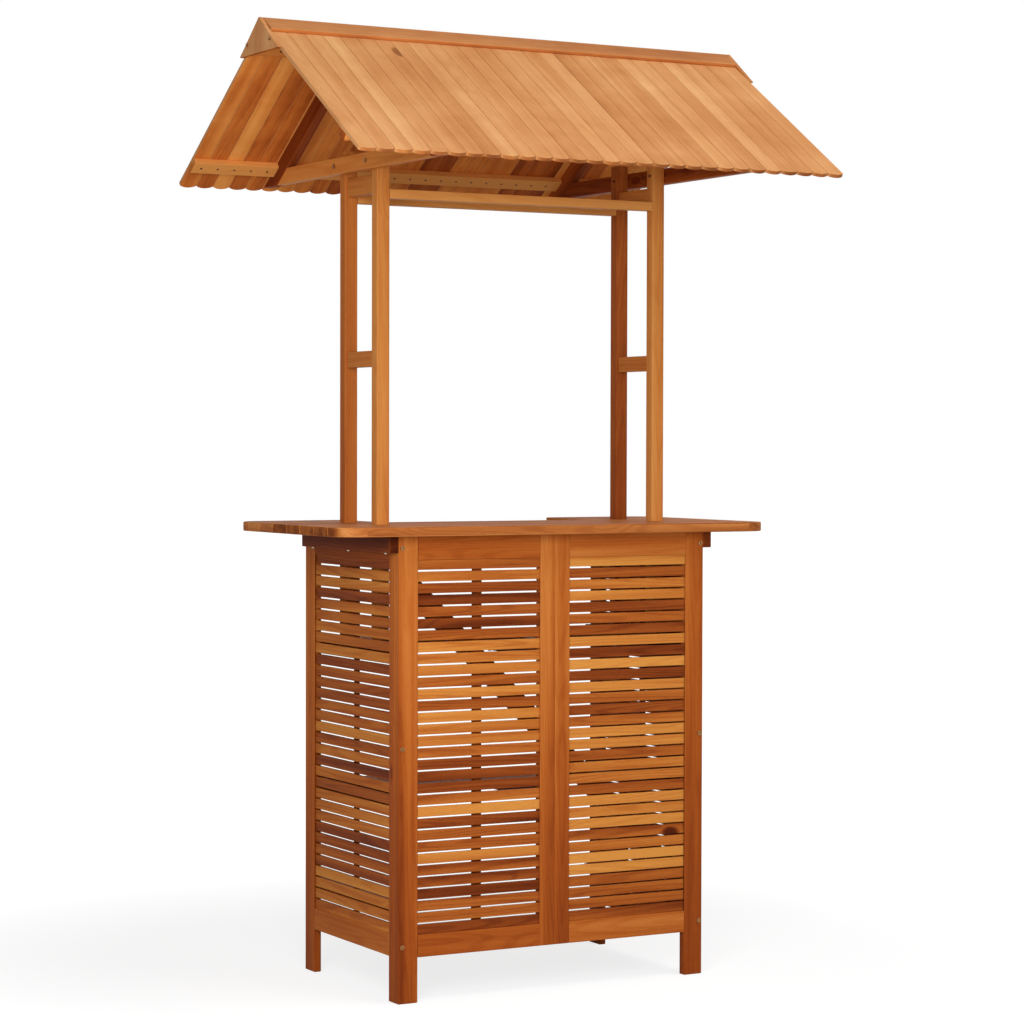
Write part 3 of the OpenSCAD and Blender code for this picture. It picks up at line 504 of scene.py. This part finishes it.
def ease(obj, width_mm):
    """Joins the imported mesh's faces and rounds its edges, so that each solid is a board with eased edges."""
    weld = obj.modifiers.new("weld", "WELD")
    weld.merge_threshold = WELD_REACH
    flat = obj.modifiers.new("flat", "DECIMATE")
    flat.decimate_type = "DISSOLVE"
    flat.angle_limit = math.radians(FLAT_DEGREES)
    bevel = obj.modifiers.new("ease", "BEVEL")
    bevel.width = width_mm * MM
    bevel.segments = EDGE_SEGMENTS
    bevel.limit_method = "ANGLE"
    bevel.angle_limit = math.radians(EDGE_DEGREES)
    bevel.use_clamp_overlap = False
    bevel.loop_slide = False
    obj.modifiers.new("shade", "WEIGHTED_NORMAL")


def by_name(table):
    """The outer and inner key of each name in a table of tables of names."""
    return {
        name: (outer, inner)
        for outer, rows in table.items()
        for inner, names in rows.items()
        for name in names
    }


def dress(frame):
    """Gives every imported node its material, and the wooden ones their eased edges."""
    figure = figure_group()
    slot_of = {part["node"]: part["material_slot"] for part in frame["record"]["subparts"]}
    cut_of = by_name(WOODEN)
    boards_of = by_name(BOARDS)
    for name, (_, width) in cut_of.items():
        ease(frame["nodes"][name], width)
    made = {}
    for name, obj in sorted(frame["nodes"].items()):
        slot = slot_of[name]
        if slot == "steel":
            key = WEATHERED.get(name, "bright")
        else:
            grain = cut_of[name][0] if name in cut_of else "x"
            axis, count = boards_of.get(name, ("x", 1))
            along = [corner["xyz".index(axis)] for corner in obj.bound_box]
            boards = (axis, count, min(along), max(along))
            # A node's tint, which for some nodes is painted shade, goes into its material.
            key = (slot, grain, TINTS_AND_PAINTED_SHADE.get(name, 0.0), boards)
        if key not in made:
            made[key] = steel(key) if slot == "steel" else wood(*key, figure)
        obj.data.materials.clear()
        obj.data.materials.append(made[key])


def camera():
    """The photograph's camera."""
    turn, down, roll = [math.radians(a) for a in (CAMERA_TURN, CAMERA_DOWN, CAMERA_ROLL)]
    ahead = Vector((math.sin(turn) * math.cos(down), math.cos(turn) * math.cos(down), -math.sin(down)))
    level = Vector((math.cos(turn), -math.sin(turn), 0.0))
    upright = level.cross(ahead)
    right = level * math.cos(roll) + upright * math.sin(roll)
    up = upright * math.cos(roll) - level * math.sin(roll)
    data = bpy.data.cameras.new("camera")
    data.sensor_width = SENSOR_MM
    data.lens = CAMERA_FOCAL_PX * SENSOR_MM / IMAGE_SIDE_PX
    data.clip_start = CAMERA_NEAR
    data.clip_end = CAMERA_FAR
    obj = bpy.data.objects.new("camera", data)
    bpy.context.scene.collection.objects.link(obj)
    obj.matrix_world = Matrix.Translation(CAMERA_PLACE) @ Matrix((right, up, -ahead)).transposed().to_4x4()
    bpy.context.scene.camera = obj


def softbox(name, place, target, side, watts):
    """A square soft light that looks at a target and doesn't show itself."""
    data = bpy.data.lights.new(name, "AREA")
    data.shape = "SQUARE"
    data.size = side
    data.energy = watts
    obj = bpy.data.objects.new(name, data)
    bpy.context.scene.collection.objects.link(obj)
    obj.location = place
    obj.rotation_euler = (Vector(target) - Vector(place)).to_track_quat("-Z", "Y").to_euler()
    obj.visible_camera = False


def seen(n):
    """1 for the rays that see the background itself: the camera's, and those off gloss or through glass."""
    path = n.add("ShaderNodeLightPath")
    mirrored = n.math("MAXIMUM", path.outputs["Is Glossy Ray"], path.outputs["Is Transmission Ray"])
    return n.math("MAXIMUM", path.outputs["Is Camera Ray"], mirrored)


def white_world():
    """A world that is white where it is seen and lights the object at its own strength."""
    world = bpy.data.worlds.new("studio")
    bpy.context.scene.world = world
    world.use_nodes = True
    n = Nodes(world.node_tree)
    lit = n.add("ShaderNodeBackground", {"Color": grey(1.0), "Strength": WORLD_LIGHT})
    white = n.add("ShaderNodeBackground", {"Color": grey(1.0), "Strength": 1.0})
    n.finish("ShaderNodeOutputWorld", n.mix_shader(seen(n), lit.outputs[0], white.outputs[0]))


def pale_floor():
    """A floor that keeps the object's shadow and fades into white."""
    half = FLOOR_SIDE / 2
    corners = [(-half, -half, 0), (half, -half, 0), (half, half, 0), (-half, half, 0)]
    mesh = bpy.data.meshes.new("floor")
    mesh.from_pydata(corners, [], [(0, 1, 2, 3)])
    floor = bpy.data.objects.new("floor", mesh)
    bpy.context.scene.collection.objects.link(floor)
    material, n = new_material("floor")
    pale = n.add("ShaderNodeBsdfDiffuse", {"Color": grey(FLOOR_BOUNCE)})
    shadow = n.add("ShaderNodeBsdfDiffuse", {"Color": grey(FLOOR_SHADOW)})
    here = n.add("ShaderNodeTexCoord").outputs["Object"]
    away = n.between(n.vector("LENGTH", here), *SHADOW_REACH)
    strength = n.math("ADD", FLOOR_GLOW_NEAR, n.math("MULTIPLY", away, FLOOR_GLOW_RISE))
    glow = n.add("ShaderNodeEmission", {"Color": grey(1.0), "Strength": strength})
    shown = n.add("ShaderNodeAddShader", {0: shadow.outputs[0], 1: glow.outputs[0]})
    n.finish("ShaderNodeOutputMaterial", n.mix_shader(seen(n), pale.outputs[0], shown.outputs[0]))
    mesh.materials.append(material)


def studio(low, high):
    """A white room: a pale floor, a white world and three large soft lights on the object's middle."""
    bpy.context.scene.view_settings.view_transform = "Standard"
    white_world()
    pale_floor()
    middle = (Vector(low) + Vector(high)) / 2
    for name, (place, side, watts) in SOFTBOXES.items():
        softbox(name, place, middle, side, watts)


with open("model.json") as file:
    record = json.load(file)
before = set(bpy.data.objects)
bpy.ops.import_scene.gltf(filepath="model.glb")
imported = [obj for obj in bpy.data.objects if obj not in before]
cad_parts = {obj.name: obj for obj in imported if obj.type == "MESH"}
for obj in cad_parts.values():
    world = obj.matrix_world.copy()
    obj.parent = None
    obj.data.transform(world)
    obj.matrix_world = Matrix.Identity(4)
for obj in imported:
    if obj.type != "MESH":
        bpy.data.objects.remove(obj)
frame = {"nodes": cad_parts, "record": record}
cad_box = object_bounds()
camera()
dress(frame)
studio(*cad_box)
